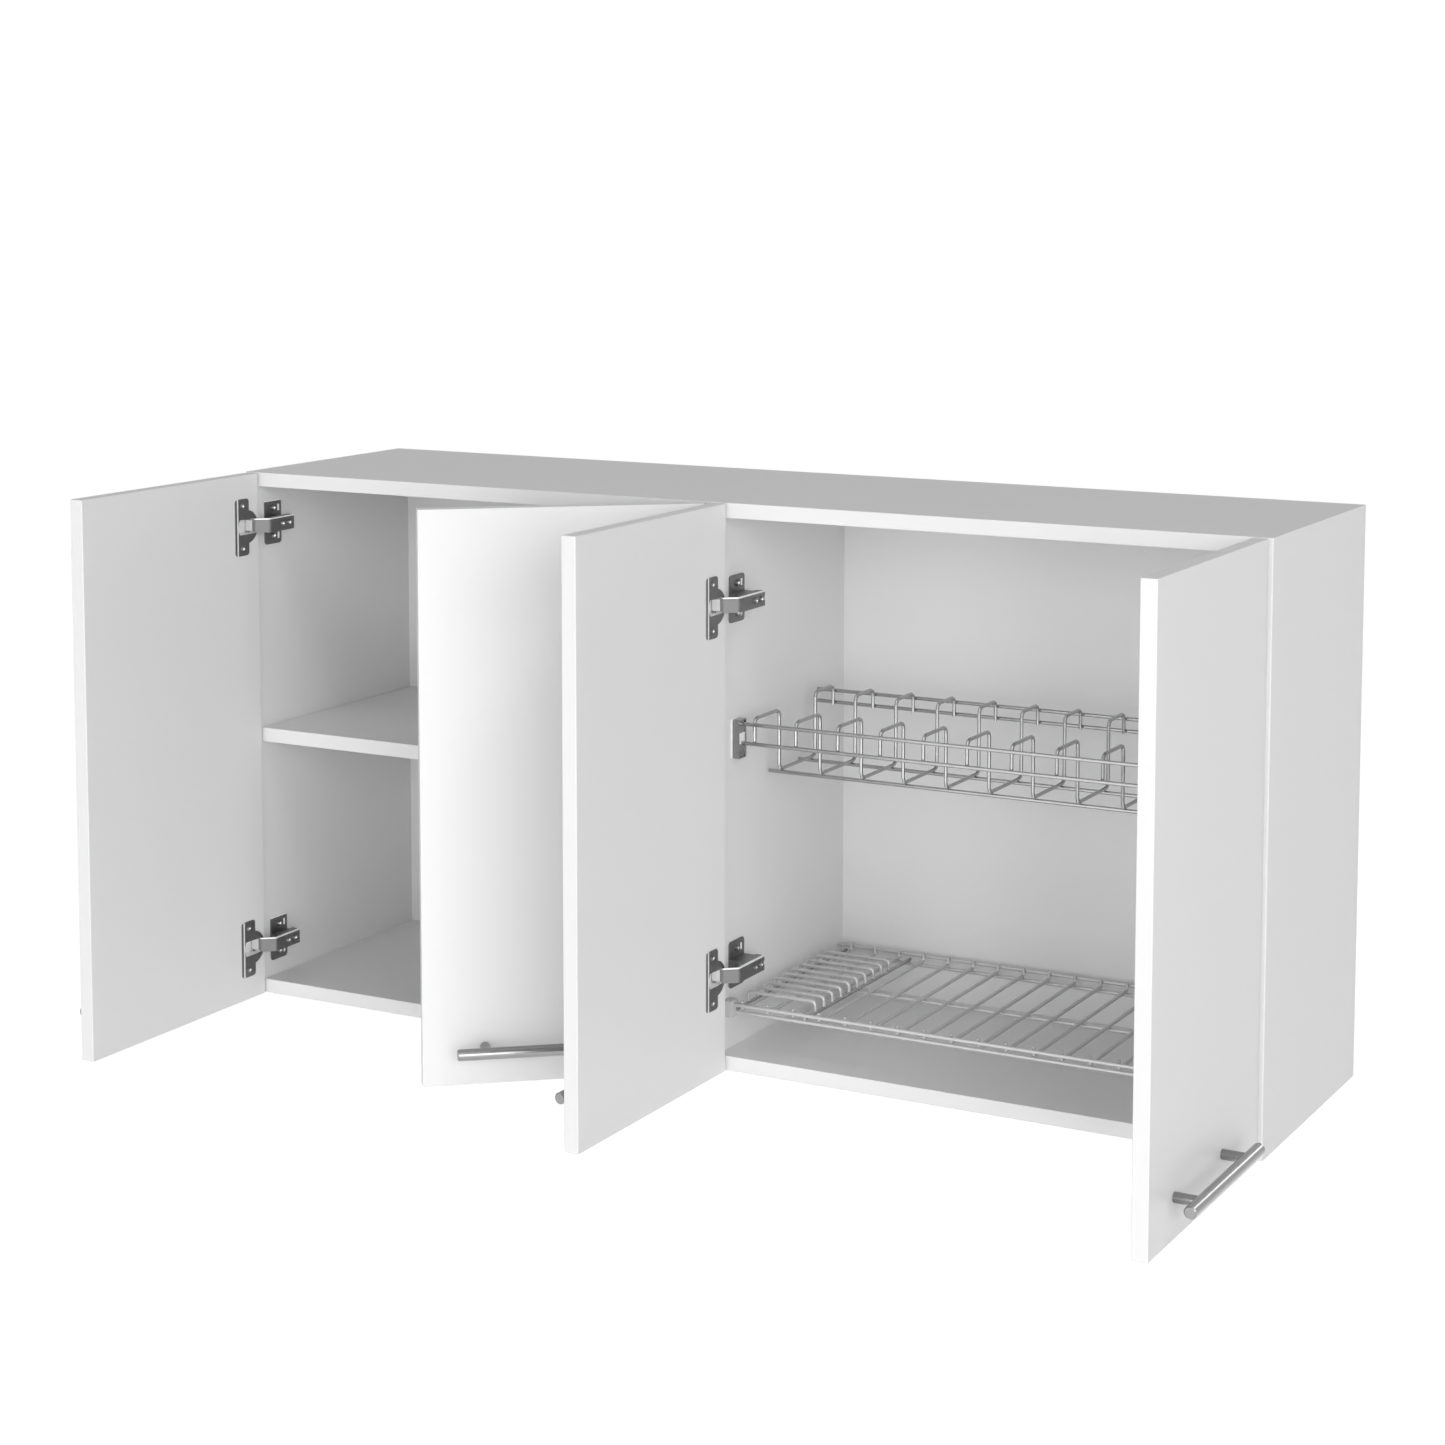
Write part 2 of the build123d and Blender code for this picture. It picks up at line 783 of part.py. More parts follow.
def screw(size):
    """Screw whose head rests on the plane z = 0 and whose shank runs down"""
    with BuildPart() as piece:
        Cylinder(size.head / 2, size.head_height, align=(Align.CENTER, Align.CENTER, Align.MIN))
        Cylinder(size.shank / 2, size.length, align=(Align.CENTER, Align.CENTER, Align.MAX))
    return piece


def put(piece, plane, point, direction):
    """Add a finished piece at a point of a plane, with its z axis along a direction"""
    origin = plane.from_local_coords(point)
    axis = plane.from_local_coords(Vector(*point) + Vector(*direction)) - origin
    with Locations(Plane(origin=origin, z_dir=axis)):
        add(piece.part)


# Hinges, drawn for a closed door about its pin: x along the door, y into the
# cabinet and z along the pin
inner_face = Plane.XZ.offset(-pin_depth)
flange_middle_x = flange_start + flange_length / 2


def cup_circle(radius):
    """Circle about the middle of a hinge cup"""
    with Locations((cup_x, 0)):
        Circle(radius)


with BuildPart() as hinge_cup:
    with BuildSketch(inner_face):
        cup_circle(cup_radius - seat_clearance)
    extrude(amount=cup_depth)
    with BuildSketch(inner_face):
        cup_circle(cup_radius + flange_rim)
        with Locations((flange_middle_x, 0)):
            RectangleRounded(flange_length, 2 * flange_half_height, flange_corner)
    extrude(amount=-flange)
    with BuildSketch(inner_face.offset(-flange)):
        cup_circle(pocket_radius)
        with Locations((cup_x, 0)):
            Rectangle(2 * pocket_radius, 2 * pocket_half_height, mode=Mode.INTERSECT)
    extrude(amount=flange + cup_depth - cup_floor, mode=Mode.SUBTRACT)
    hole((0, 0, -pin_half_length), (0, 0, 1), pin_diameter, 2 * pin_half_length)
    for height in (-cup_screw_pitch / 2, cup_screw_pitch / 2):
        hole((flange_middle_x, pin_depth + flange, height), (0, -1, 0), cup_screw.shank, 2 * flange)

# The leg leaves the eye along its front, turns away from the cup and becomes the arm
leg_angle = radians(leg_first_angle_deg)
leg_offset = eye_radius - arm_sheet / 2
leg_start = (leg_offset * sin(leg_angle), -leg_offset * cos(leg_angle))
leg_knee = (
    leg_start[0] + leg_first_length * cos(leg_angle),
    leg_start[1] + leg_first_length * sin(leg_angle),
)
arm_middle_x = arm_outer_face - arm_sheet / 2


def hinge_arm(arm_end, screw_places, is_forked):
    """Eye, bent leg and channel of a hinge arm, with holes for its screws"""
    with BuildPart() as piece:
        with BuildSketch():
            with BuildLine():
                FilletPolyline(
                    leg_start,
                    leg_knee,
                    (arm_middle_x, arm_bend_height),
                    (arm_middle_x, arm_end),
                    radius=arm_bend_radius,
                )
            trace(line_width=arm_sheet)
        extrude(amount=arm_half_height, both=True)
        with BuildSketch(Plane.XZ):
            Polygon(
                (-eye_radius, eye_half_height),
                (leg_knee[0] - arm_bend_radius, eye_half_height),
                (leg_knee[0], arm_half_height),
                (arm_outer_face, arm_half_height),
                (arm_outer_face, -arm_half_height),
                (leg_knee[0], -arm_half_height),
                (leg_knee[0] - arm_bend_radius, -eye_half_height),
                (-eye_radius, -eye_half_height),
                align=None,
            )
        extrude(amount=arm_end, both=True, mode=Mode.INTERSECT)
        with BuildSketch():
            Circle(eye_radius)
        extrude(amount=eye_half_height, both=True)
        for side in (-1, 1):
            with BuildSketch(Plane.XY.offset(side * (arm_half_height - arm_wall / 2))):
                Polygon(
                    (arm_middle_x, arm_wall_start - arm_sheet),
                    (arm_middle_x - arm_wall_depth, arm_wall_start + arm_wall_slope),
                    (arm_middle_x - arm_wall_depth, arm_end),
                    (arm_middle_x, arm_end),
                    align=None,
                )
            extrude(amount=arm_wall / 2, both=True)
        bore_diameter = pin_diameter + 2 * bore_clearance
        rod((0, 0, -eye_half_height), (0, 0, 1), bore_diameter, 2 * eye_half_height, Mode.SUBTRACT)
        for y in screw_places:
            hole((arm_outer_face, y, 0), (-1, 0, 0), arm_screw.shank, 2 * arm_sheet)
        if is_forked:
            block(
                (arm_middle_x - arm_sheet, arm_outer_face),
                (screw_places[-1], arm_end),
                (-arm_screw.shank / 2 - seat_clearance, arm_screw.shank / 2 + seat_clearance),
                Mode.SUBTRACT,
            )
    return piece


def mounting_plate(face, start, end, screw_places):
    """Wings on the board and a saddle that fills the channel of the arm"""
    saddle_half_height = arm_half_height - arm_wall - saddle_clearance
    with BuildPart() as piece:
        with BuildSketch(Plane.YZ.offset(face)):
            with Locations(((start + end) / 2, 0)):
                RectangleRounded(end - start, 2 * wing_half_height, wing_corner)
        extrude(amount=wing)
        block(
            (face + wing, arm_outer_face - arm_sheet),
            (start, end),
            (-saddle_half_height, saddle_half_height),
        )
        for height in (-plate_screw_height, plate_screw_height):
            hole((face + wing, (start + end) / 2, height), (-1, 0, 0), plate_screw.shank, 2 * wing)
            with BuildSketch(Plane.YZ.offset(face)):
                with Locations(((start + end) / 2 + plate_slot_offset, height)):
                    SlotOverall(plate_slot_length, plate_slot_width, rotation=90)
            extrude(amount=wing, mode=Mode.SUBTRACT)
        for y in screw_places:
            hole((arm_outer_face, y, 0), (-1, 0, 0), arm_screw.shank, arm_screw.length + arm_sheet)
    return piece


def arm_screw_places(door):
    """Distances of the two arm screws from the hinge pin, along the board"""
    start, end = plate_span(door)
    arm_end = end_arm_end if is_end_door(door) else middle_arm_end
    return [start + arm_screw_inset, min(end, arm_end) - arm_screw_inset]


hinge_screws = {"plate": screw(plate_screw), "cup": screw(cup_screw), "arm": screw(arm_screw)}

for door in doors:
    start, end = plate_span(door)
    arm_end = end_arm_end if is_end_door(door) else middle_arm_end
    arm = hinge_arm(arm_end, arm_screw_places(door), not is_end_door(door))
    plate = mounting_plate(board_face(door), start, end, arm_screw_places(door))
    with BuildPart() as hinge_arms:
        with Locations(*hinge_places(door)):
            add(arm.part)
    save(hinge_arms, f"door_{door.number}_hinge_arms")
    with BuildPart() as mounting_plates:
        with Locations(*hinge_places(door)):
            add(plate.part)
    save(mounting_plates, f"door_{door.number}_mounting_plates")

with BuildPart() as plate_screws:
    for door in doors:
        start, end = plate_span(door)
        for plane in hinge_places(door):
            for height in (-plate_screw_height, plate_screw_height):
                point = (board_face(door) + wing, (start + end) / 2, height)
                put(hinge_screws["plate"], plane, point, (1, 0, 0))
save(plate_screws, "plate_screws")

with BuildPart() as arm_screws:
    for door in doors:
        for plane in hinge_places(door):
            for y in arm_screw_places(door):
                put(hinge_screws["arm"], plane, (arm_outer_face, y, 0), (1, 0, 0))
save(arm_screws, "arm_screws")

# Doors, drawn closed about their pins like the hinges
door_low_x = -pin_inset
door_outer_y = pin_depth - door_board
door_half_height = half_height - door_height_reveal
post_insets = [post_mean_inset - post_pitch / 2, post_mean_inset + post_pitch / 2]
bar_y = door_outer_y - handle_reach


def door_panel(door):
    """Door board with its soft edges, cup holes, pilot holes and stud holes"""
    with BuildPart() as piece:
        block(
            (door_low_x, door_low_x + door_width),
            (door_outer_y, pin_depth),
            (-door_half_height, door_half_height),
        )
        fillet(piece.edges(), door_round)
        for height in (-door.hinge_z, door.hinge_z):
            hole((cup_x, pin_depth, height), (0, -1, 0), cup_diameter, cup_depth + seat_clearance)
            for step in (-cup_screw_pitch / 2, cup_screw_pitch / 2):
                start = (flange_middle_x, pin_depth, height + step)
                hole(start, (0, -1, 0), cup_screw.shank, cup_screw.length)
        for inset in post_insets:
            start = (inset - pin_inset, door_outer_y, -door.side * handle_drop)
            hole(start, (0, 1, 0), stud_diameter, stud_depth)
    return piece


def handle_bar(door):
    """Round bar with blind holes for the studs of its posts"""
    low_x = post_mean_inset - handle_length / 2 - pin_inset
    with BuildPart() as piece:
        rod((low_x, bar_y, -door.side * handle_drop), (1, 0, 0), handle_diameter, handle_length)
        chamfer(piece.edges(), handle_chamfer)
        for inset in post_insets:
            start = (inset - pin_inset, bar_y + handle_diameter / 2, -door.side * handle_drop)
            hole(start, (0, -1, 0), stud_diameter, stud_bar_depth)
    return piece


def handle_posts(door):
    """Posts saddled on the bar, with studs into the bar and the door"""
    level = -door.side * handle_drop
    with BuildPart() as piece:
        for inset in post_insets:
            rod((inset - pin_inset, door_outer_y, level), (0, -1, 0), post_diameter, handle_reach)
        rod(
            (post_insets[0] - handle_length, bar_y, level),
            (1, 0, 0),
            handle_diameter + 2 * seat_clearance,
            2 * handle_length + post_pitch,
            Mode.SUBTRACT,
        )
        for inset in post_insets:
            stud_start = (inset - pin_inset, door_outer_y + stud_depth, level)
            stud_length = stud_depth + handle_reach - handle_diameter / 2 + stud_bar_depth
            rod(stud_start, (0, -1, 0), stud_diameter, stud_length)
    return piece


with BuildPart() as hinge_pin:
    Cylinder(pin_diameter / 2, 2 * pin_half_length)

for door in doors:
    name = f"door_{door.number}"
    place = hinge_plane(door, 0, door.open_deg)
    hinge_planes = hinge_places(door, door.open_deg)
    for made, part_name in (
        (door_panel(door), "panel"),
        (handle_bar(door), "handle_bar"),
        (handle_posts(door), "handle_posts"),
    ):
        with BuildPart() as placed:
            with Locations(place):
                add(made.part)
        save(placed, f"{name}_{part_name}")
    for made, part_name in ((hinge_cup, "hinge_cups"), (hinge_pin, "hinge_pins")):
        with BuildPart() as placed:
            with Locations(*hinge_planes):
                add(made.part)
        save(placed, f"{name}_{part_name}")
    with BuildPart() as cup_screws:
        for plane in hinge_planes:
            for step in (-cup_screw_pitch / 2, cup_screw_pitch / 2):
                put(hinge_screws["cup"], plane, (flange_middle_x, pin_depth + flange, step), (0, 1, 0))
    save(cup_screws, f"{name}_cup_screws")
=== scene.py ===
import bmesh
import bpy
import json
import math
from collections import namedtuple
from mathutils import Matrix, Vector


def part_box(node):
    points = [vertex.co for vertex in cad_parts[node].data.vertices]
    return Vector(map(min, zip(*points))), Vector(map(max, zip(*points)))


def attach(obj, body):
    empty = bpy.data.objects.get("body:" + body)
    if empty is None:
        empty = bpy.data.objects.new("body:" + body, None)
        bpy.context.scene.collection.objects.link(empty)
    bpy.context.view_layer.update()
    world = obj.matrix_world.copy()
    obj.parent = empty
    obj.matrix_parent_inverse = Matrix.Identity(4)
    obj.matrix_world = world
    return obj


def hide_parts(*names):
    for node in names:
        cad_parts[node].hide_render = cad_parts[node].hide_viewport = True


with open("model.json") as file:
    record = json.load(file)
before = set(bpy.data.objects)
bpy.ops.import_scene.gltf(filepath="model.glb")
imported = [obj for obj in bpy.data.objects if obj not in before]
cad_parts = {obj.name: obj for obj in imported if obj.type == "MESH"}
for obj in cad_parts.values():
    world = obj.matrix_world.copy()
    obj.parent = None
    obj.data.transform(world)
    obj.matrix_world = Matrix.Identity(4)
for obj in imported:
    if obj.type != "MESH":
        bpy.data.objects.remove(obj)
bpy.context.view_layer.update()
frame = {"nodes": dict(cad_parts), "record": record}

# Camera, fitted to the photograph: metres, degrees, and shares of the image width for the shift
CAMERA_PLACE = (1.4501, -2.9375, 0.6569)
CAMERA_YAW_DEG = 28.831
CAMERA_PITCH_DEG = 5.574
CAMERA_SENSOR_MM = 36.0
CAMERA_LENS_MM = 73.12
CAMERA_SHIFT = (0.009, -0.195)

# Light: radiance of the surroundings, the white that is seen instead of it, and softboxes round
# the cabinet, each with its bearing to the right of the front and its height in degrees, its
# size in metres and its power in watts
AMBIENT = 0.235
SEEN_BACKGROUND = 1.0
SOFTBOX_DISTANCE = 7.0
SOFTBOXES = {
    "right_softbox": (45.0, 9.0, 4.0, 226.0),
    "front_softbox": (5.0, 5.0, 4.0, 150.0),
    "left_softbox": (-35.0, 12.0, 4.0, 47.0),
    "upper_right_softbox": (56.0, 48.0, 1.3, 38.0),
    "rear_softbox": (158.0, 18.0, 1.3, 24.0),
}

# Floor: height, size, colour and glow where it is seen
FLOOR_LEVEL = -1.7
FLOOR_SIZE = 30.0
FLOOR_COLOUR = 0.9
FLOOR_ROUGHNESS = 0.9
FLOOR_GLOW = 0.74

# Doors: how far each is open in the photograph, those that are hung at their left side,
# and those whose hinges sit on an end board
DOOR_OPEN_DEG = {1: 90.0, 2: 39.5, 3: 90.0, 4: 90.0}
LEFT_HUNG_DOORS = (1, 3)
END_DOORS = (1, 4)

# Nodes of the glass rack, whose wires are duller and paler than those of the plate rack
GLASS_RACK_WIRES = ("glass_rack_rails", "glass_rack_depth_wires", "glass_rack_saucer_wires")

# Slots of the hinges and of the plate rack's ends, whose steel has areas of its own: painted highlights,
# painted light and painted shade, and the white plastic of the inserts
PRESSED_SLOTS = ("hinge_steel", "bracket_chrome", "white_plastic")

# Handles: thicker and shorter than their solids, nearer to the door and to its hinges
BAR_RADIUS = 0.006
BAR_LENGTH = 0.190
BAR_CHAMFER = 0.0012
BAR_SETBACK = 0.0025
HANDLE_SHIFT = 0.0025
POST_RADIUS = 0.005
POST_CHAMFER = 0.0004
POST_PITCH = 0.128
POST_FOOT = 0.028
POST_LENGTH = 0.0223

# Screws: radius and height of the head, radius and length of the shank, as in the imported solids
Screw = namedtuple("Screw", "head height shank length")
PLATE_SCREW = Screw(0.0035, 0.002, 0.002, 0.012)
CUP_SCREW = Screw(0.00325, 0.0015, 0.00175, 0.010)
ARM_SCREW = Screw(0.00325, 0.002, 0.002, 0.008)

# Shares of a screw's head: height of its rim, radius of its flat top, and its cross recess;
# and share of its shank's radius at the tip
HEAD_RIM_SHARE = 0.55
HEAD_TOP_SHARE = 0.68
CROSS_REACH_SHARE = 0.58
CROSS_WIDTH_SHARE = 0.17
CROSS_DEPTH_SHARE = 0.6
TIP_SHARE = 0.3

# Beyond this distance from the middle a screw sits in an end board, nearer in the divider
END_BOARD_X = 0.3

# Meshes: sides of handles and screws, angle from which an edge is sharp, and the distance
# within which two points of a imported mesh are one
ROUND_SIDES = 48
SCREW_SIDES = 24
SHARP_ANGLE_DEG = 30.0
WELD_DISTANCE = 0.000001

# Hinge areas. From the pin: the mouth of the cup's pocket, whose inside has painted light, the painted
# highlight along its flange, how far the link with painted light reaches from the board, how far the leg
# with painted shade reaches back, and the face of the arm. From the middle of the hinge: the upper edges
# of the arm and of the wings, with painted highlights
POCKET_MOUTH = 0.0088
FLANGE_HIGHLIGHT_MIDDLE = 0.0302
FLANGE_HIGHLIGHT_HALF_WIDTH = 0.0012
LINK_REACH = 0.0075
LEG_REACH = 0.012
ARM_FACE = 0.0222
ARM_EDGE = 0.008
WING_EDGE = 0.025
RIM_HIGHLIGHT_HALF_WIDTH = 0.0013

# Steels: share of metal in a bare surface and in the painted areas, and levels and roughness of the
# hinges' dark plating, painted highlights on edges, painted shade on the leg and painted light on the
# link and in the pocket
BARE = 1.0
PAINTED_METALLIC = 0.15
DARK_LEVEL = 0.24
HIGHLIGHT_LEVEL = 0.95
LEG_PAINTED_SHADE = 0.19
LINK_PAINTED_LIGHT = 0.72
POCKET_PAINTED_LIGHT = 0.9
HINGE_ROUGHNESS = 0.42

# Slots of the mounting plates, whose edges carry a painted highlight: their places behind the middle
# of the plate and above and below the middle of the hinge, and their half sizes with the edge
SLOT_OFFSET = 0.0095
SLOT_HEIGHT = 0.016
SLOT_HALF_WIDTH = 0.0018
SLOT_HALF_LENGTH = 0.0037

# Ends of the plate rack: chrome of the brackets and inserts, width of the painted highlight along the
# brackets' edge at the boards, and the white plastic that shows in the middle of the inserts
BRACKET_LEVEL = 0.34
BRACKET_ROUGHNESS = 0.16
BRACKET_HIGHLIGHT_WIDTH = 0.0016
INSERT_MIDDLE = 0.047
INSERT_HALF_HEIGHT = 0.0058
INSERT_LEVEL = 0.9
PLASTIC = 0.0

# Directions along the cabinet, towards the wall and up
ACROSS = Vector((1.0, 0.0, 0.0))
BACK = Vector((0.0, 1.0, 0.0))
UP = Vector((0.0, 0.0, 1.0))

# Sockets of a mix node that belong to its colour mode
MIX_COLOUR_A = 6
MIX_COLOUR_B = 7
MIX_COLOUR = 2


def new_material(name):
    """Empty node material with its output and its main shader"""
    material = bpy.data.materials.new(name)
    material.use_nodes = True
    nodes = material.node_tree.nodes
    return material, nodes, material.node_tree.links, nodes["Principled BSDF"]


def colour(level):
    """Neutral colour of one linear level, or the colour itself"""
    return (level, level, level, 1.0) if isinstance(level, float) else (*level, 1.0)


def surface_noise(nodes, links, scale, detail):
    """Noise that is fixed to the object, in features per metre"""
    noise = nodes.new("ShaderNodeTexNoise")
    noise.inputs["Scale"].default_value = scale
    noise.inputs["Detail"].default_value = detail
    links.new(nodes.new("ShaderNodeTexCoord").outputs["Object"], noise.inputs["Vector"])
    return noise.outputs["Fac"]


def remap(nodes, links, value, low, high):
    """Value from 0 to 1 spread between two others"""
    spread = nodes.new("ShaderNodeMapRange")
    spread.inputs["To Min"].default_value = low
    spread.inputs["To Max"].default_value = high
    links.new(value, spread.inputs["Value"])
    return spread.outputs["Result"]


def bump(nodes, links, shader, height, distance, strength):
    """Relief from a height, in metres"""
    relief = nodes.new("ShaderNodeBump")
    relief.inputs["Distance"].default_value = distance
    relief.inputs["Strength"].default_value = strength
    links.new(height, relief.inputs["Height"])
    links.new(relief.outputs["Normal"], shader.inputs["Normal"])


def tint(nodes, links, shader, value, dark, light):
    """Base colour between two colours by a value"""
    mix = nodes.new("ShaderNodeMix")
    mix.data_type = "RGBA"
    mix.inputs[MIX_COLOUR_A].default_value = colour(dark)
    mix.inputs[MIX_COLOUR_B].default_value = colour(light)
    links.new(value, mix.inputs[0])
    links.new(mix.outputs[MIX_COLOUR], shader.inputs["Base Color"])


def board_material(name, level, roughness):
    """Melamine board: an even colour under a fine pearl grain"""
    material, nodes, links, shader = new_material(name)
    cloud = surface_noise(nodes, links, scale=5.0, detail=3.0)
    tint(nodes, links, shader, cloud, dark=level * 0.985, light=level * 1.01)
    grain = surface_noise(nodes, links, scale=1400.0, detail=2.0)
    gloss = remap(nodes, links, grain, low=roughness - 0.04, high=roughness + 0.05)
    links.new(gloss, shader.inputs["Roughness"])
    bump(nodes, links, shader, grain, distance=0.00003, strength=0.35)
    shader.inputs["Specular IOR Level"].default_value = 0.2
    return material


def metal_material(name, level, roughness, grain_scale=900.0, metallic=BARE):
    """Plated metal: slight clouds of gloss and fine specks"""
    material, nodes, links, shader = new_material(name)
    shader.inputs["Metallic"].default_value = metallic
    cloud = surface_noise(nodes, links, scale=120.0, detail=3.0)
    tint(nodes, links, shader, cloud, dark=level * 0.92, light=level * 1.08)
    grain = surface_noise(nodes, links, scale=grain_scale, detail=3.0)
    gloss = remap(nodes, links, grain, low=roughness * 0.75, high=roughness * 1.25)
    links.new(gloss, shader.inputs["Roughness"])
    bump(nodes, links, shader, grain, distance=0.00001, strength=0.3)
    return material


def plastic_material(name, level, roughness):
    """Moulded plastic with a fine spark-eroded grain"""
    material, nodes, links, shader = new_material(name)
    cloud = surface_noise(nodes, links, scale=60.0, detail=2.0)
    tint(nodes, links, shader, cloud, dark=level * 0.97, light=level * 1.02)
    grain = surface_noise(nodes, links, scale=2500.0, detail=2.0)
    gloss = remap(nodes, links, grain, low=roughness - 0.06, high=roughness + 0.06)
    links.new(gloss, shader.inputs["Roughness"])
    bump(nodes, links, shader, grain, distance=0.00002, strength=0.4)
    return material


def place_along(nodes, links, direction):
    """Place on the resting object along a direction, in metres"""
    dot = nodes.new("ShaderNodeVectorMath")
    dot.operation = "DOT_PRODUCT"
    dot.inputs[1].default_value = direction
    links.new(nodes.new("ShaderNodeTexCoord").outputs["Object"], dot.inputs[0])
    return dot.outputs["Value"]


def compare(nodes, links, value, operation, *limits):
    """1 where a comparison holds, otherwise 0"""
    test = nodes.new("ShaderNodeMath")
    test.operation = operation
    links.new(value, test.inputs[0])
    for socket, limit in enumerate(limits, 1):
        test.inputs[socket].default_value = limit
    return test.outputs[0]


def under(direction, limit):
    """Area whose place along a direction is under a limit"""
    def area(nodes, links):
        return compare(nodes, links, place_along(nodes, links, direction), "LESS_THAN", limit)
    return area


def near(direction, middle, half_width):
    """Band about a place along a direction"""
    def area(nodes, links):
        place = place_along(nodes, links, direction)
        return compare(nodes, links, place, "COMPARE", middle, half_width)
    return area


def both(first, second):
    """Area that lies in two others"""
    def area(nodes, links):
        product = nodes.new("ShaderNodeMath")
        product.operation = "MULTIPLY"
        links.new(first(nodes, links), product.inputs[0])
        links.new(second(nodes, links), product.inputs[1])
        return product.outputs[0]
    return area


def change_in(nodes, links, mask, value, other):
    """Value that becomes another one in an area"""
    mix = nodes.new("ShaderNodeMix")
    links.new(mask, mix.inputs["Factor"])
    if isinstance(value, float):
        mix.inputs["A"].default_value = value
    else:
        links.new(value, mix.inputs["A"])
    mix.inputs["B"].default_value = other
    return mix.outputs["Result"]


def pressed_steel(name, level, roughness, areas):
    """Pressed and plated steel; each of its areas has its own level and share of metal"""
    material, nodes, links, shader = new_material(name)
    cloud = surface_noise(nodes, links, scale=150.0, detail=3.0)
    shade = remap(nodes, links, cloud, low=level * 0.9, high=level * 1.1)
    metallic = BARE
    for area, area_level, area_metallic in areas:
        mask = area(nodes, links)
        shade = change_in(nodes, links, mask, shade, area_level)
        metallic = change_in(nodes, links, mask, metallic, area_metallic)
    links.new(shade, shader.inputs["Base Color"])
    links.new(metallic, shader.inputs["Metallic"])
    grain = surface_noise(nodes, links, scale=1100.0, detail=3.0)
    gloss = remap(nodes, links, grain, low=roughness * 0.8, high=roughness * 1.2)
    links.new(gloss, shader.inputs["Roughness"])
    bump(nodes, links, shader, grain, distance=0.00001, strength=0.3)
    return material


def wood_material(name, light, dark):
    """Turned beech with short dark flecks along the dowel"""
    material, nodes, links, shader = new_material(name)
    flecks = surface_noise(nodes, links, scale=700.0, detail=5.0)
    tint(nodes, links, shader, flecks, dark, light)
    shader.inputs["Roughness"].default_value = 0.7
    bump(nodes, links, shader, flecks, distance=0.00005, strength=0.5)
    return material


def door_axes(number):
    """Directions of a door: along its width from the hinges, and from its outer to its inner face"""
    side = 1.0 if number in LEFT_HUNG_DOORS else -1.0
    angle = math.radians(DOOR_OPEN_DEG[number])
    along = Vector((side * math.cos(angle), -math.sin(angle), 0.0))
    inward = Vector((side * math.sin(angle), math.cos(angle), 0.0))
    return along, inward


def middle_of(node):
    """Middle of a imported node's box"""
    low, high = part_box(node)
    return (Vector(low) + Vector(high)) / 2


# Materials, each with its level of colour and its roughness
MATERIALS = {
    "melamine": board_material("board_melamine", 0.80, 0.42),
    "door_melamine": board_material("door_melamine", 0.80, 0.40),
    "back_board": board_material("back_board", 0.78, 0.55),
    "rail_board": board_material("rail_melamine", 0.80, 0.45),
    "beech": wood_material("beech", (0.62, 0.42, 0.24), (0.42, 0.26, 0.13)),
    "zinc_casting": metal_material("zinc_casting", 0.38, 0.45),
    "plated_steel": metal_material("plated_steel", 0.25, 0.38),
    "rack_wire": metal_material("rack_wire", 0.42, 0.26),
    "satin_wire": metal_material("satin_wire", 0.56, 0.38, metallic=0.35),
    "grey_plastic": plastic_material("grey_plastic", 0.58, 0.40),
    "handle_steel": metal_material("handle_steel", 0.27, 0.24, 1600.0),
    # Pale steel of the screws' cross recesses: a painted highlight
    "recess_highlight_steel": metal_material("recess_highlight_steel", 0.90, 0.35),
}


def dress(name, material):
    """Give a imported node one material"""
    slots = frame["nodes"][name].data.materials
    slots.clear()
    slots.append(material)


def dress_nodes():
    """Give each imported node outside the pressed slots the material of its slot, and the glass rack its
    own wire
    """
    for part in frame["record"]["subparts"]:
        if part["material_slot"] not in PRESSED_SLOTS:
            dress(part["node"], MATERIALS[part["material_slot"]])
    for wires in GLASS_RACK_WIRES:
        dress(wires, MATERIALS["satin_wire"])


